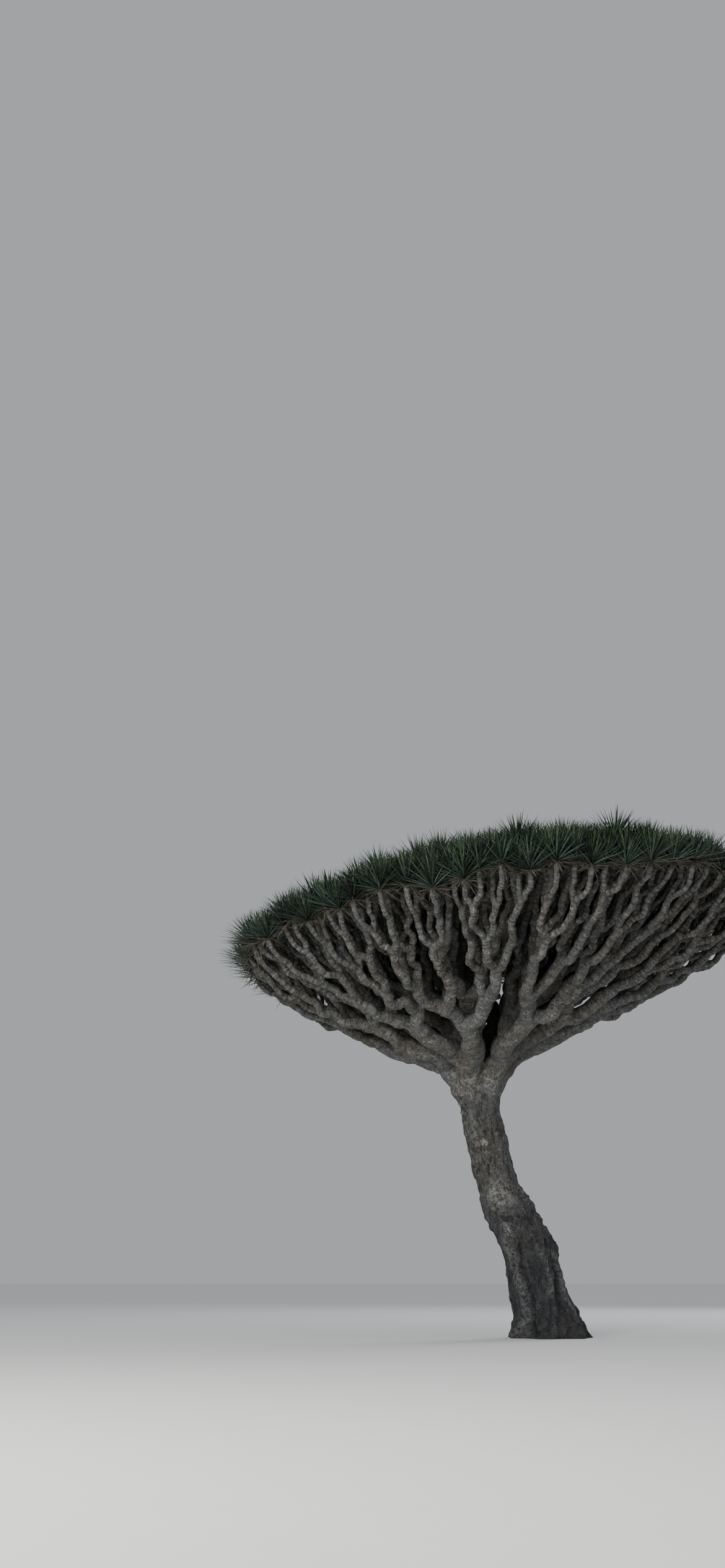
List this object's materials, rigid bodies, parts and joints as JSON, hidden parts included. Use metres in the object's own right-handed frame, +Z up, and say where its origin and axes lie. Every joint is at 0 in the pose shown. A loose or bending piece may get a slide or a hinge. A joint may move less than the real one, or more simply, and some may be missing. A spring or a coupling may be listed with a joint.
{
  "type": "dragon blood tree",
  "caption": "Leaning trunk that forks into thick boughs and on into a broad umbrella crown, closed on top by tufts of stiff sword leaves, standing on the flat cut at ground level.",
  "frame": {"origin": "centre of the flat cut under the trunk, at ground level", "axes": "+Z up; +X the way the foot of the trunk stands out from under the crown, to the right in the picture; +Y away from the camera"},
  "size_m": [7.0848, 7.0803, 5.991],
  "materials": {
    "trunk_bark": "rough grey-brown bark with pale lichen patches and pock marks",
    "bough_bark": "grey-beige bark with ring scars and pale lichen flecks",
    "foliage": "dark green leathery sword leaves on grey-beige twigs"
  },
  "bodies": {
    "root": {"trunk": "trunk_bark", "bough_1": "bough_bark", "bough_1a": "bough_bark", "bough_1a1": "bough_bark", "foliage_1a1": "foliage", "bough_1a2": "bough_bark", "foliage_1a2": "foliage", "bough_1b": "bough_bark", "bough_1b1": "bough_bark", "foliage_1b1": "foliage", "bough_1b2": "bough_bark", "foliage_1b2": "foliage", "bough_2": "bough_bark", "bough_2a": "bough_bark", "bough_2a1": "bough_bark", "foliage_2a1": "foliage", "bough_2a2": "bough_bark", "foliage_2a2": "foliage", "bough_2b": "bough_bark", "bough_2b1": "bough_bark", "foliage_2b1": "foliage", "bough_2b2": "bough_bark", "foliage_2b2": "foliage", "bough_3": "bough_bark", "bough_3a": "bough_bark", "bough_3a1": "bough_bark", "foliage_3a1": "foliage", "bough_3a2": "bough_bark", "foliage_3a2": "foliage", "bough_3b": "bough_bark", "bough_3b1": "bough_bark", "foliage_3b1": "foliage", "bough_3b2": "bough_bark", "foliage_3b2": "foliage", "bough_4": "bough_bark", "bough_4a": "bough_bark", "bough_4a1": "bough_bark", "foliage_4a1": "foliage", "bough_4a2": "bough_bark", "foliage_4a2": "foliage", "bough_4b": "bough_bark", "bough_4b1": "bough_bark", "foliage_4b1": "foliage", "bough_4b2": "bough_bark", "foliage_4b2": "foliage", "bough_5": "bough_bark", "bough_5a": "bough_bark", "bough_5a1": "bough_bark", "foliage_5a1": "foliage", "bough_5a2": "bough_bark", "foliage_5a2": "foliage", "bough_5b": "bough_bark", "bough_5b1": "bough_bark", "foliage_5b1": "foliage", "bough_5b2": "bough_bark", "foliage_5b2": "foliage"}
  },
  "joints": []
}
